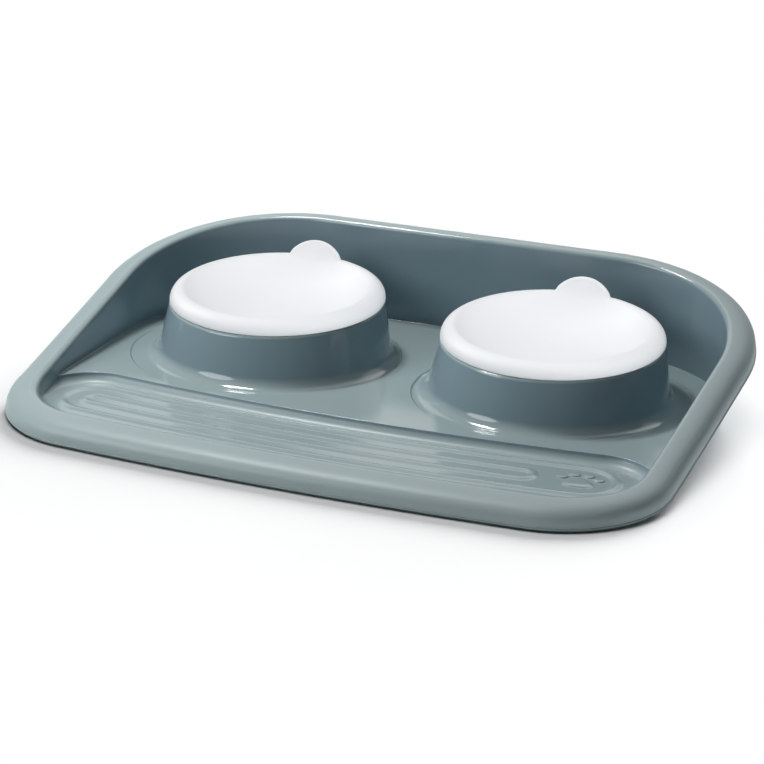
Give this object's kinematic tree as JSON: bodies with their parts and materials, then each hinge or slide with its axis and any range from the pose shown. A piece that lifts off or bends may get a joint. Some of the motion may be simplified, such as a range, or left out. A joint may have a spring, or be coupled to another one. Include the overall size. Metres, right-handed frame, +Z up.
{
  "type": "double pet bowl",
  "caption": "Feeding tray with a sloping splash wall, a ridged front basin and tilted pedestals that carry lift-out bowls with finger ears.",
  "frame": {"origin": "on the table surface, under the middle of the tray's bounding box", "axes": "+X along the row of bowls to the right-hand bowl, +Y toward the high back wall, so the low front faces -Y, +Z up"},
  "size_m": [0.4342, 0.322, 0.0757],
  "materials": {
    "tray_plastic": "glossy blue-grey inside, satin rim",
    "bowl_plastic": "satin white",
    "foot_rubber": "matte"
  },
  "bodies": {
    "tray": {"tray": "tray_plastic", "foot_front_left": "foot_rubber", "foot_front_right": "foot_rubber", "foot_back_left": "foot_rubber", "foot_back_right": "foot_rubber"},
    "left_bowl": {"left_bowl": "bowl_plastic"},
    "right_bowl": {"right_bowl": "bowl_plastic"}
  },
  "joints": [
    {"name": "left_bowl_lift", "type": "slide", "parent": "tray", "child": "left_bowl", "axis": [0, -0.0698, 0.9976], "range_m": [0, 0.09]},
    {"name": "right_bowl_lift", "type": "slide", "parent": "tray", "child": "right_bowl", "axis": [0, -0.0698, 0.9976], "range_m": [0, 0.09]}
  ]
}
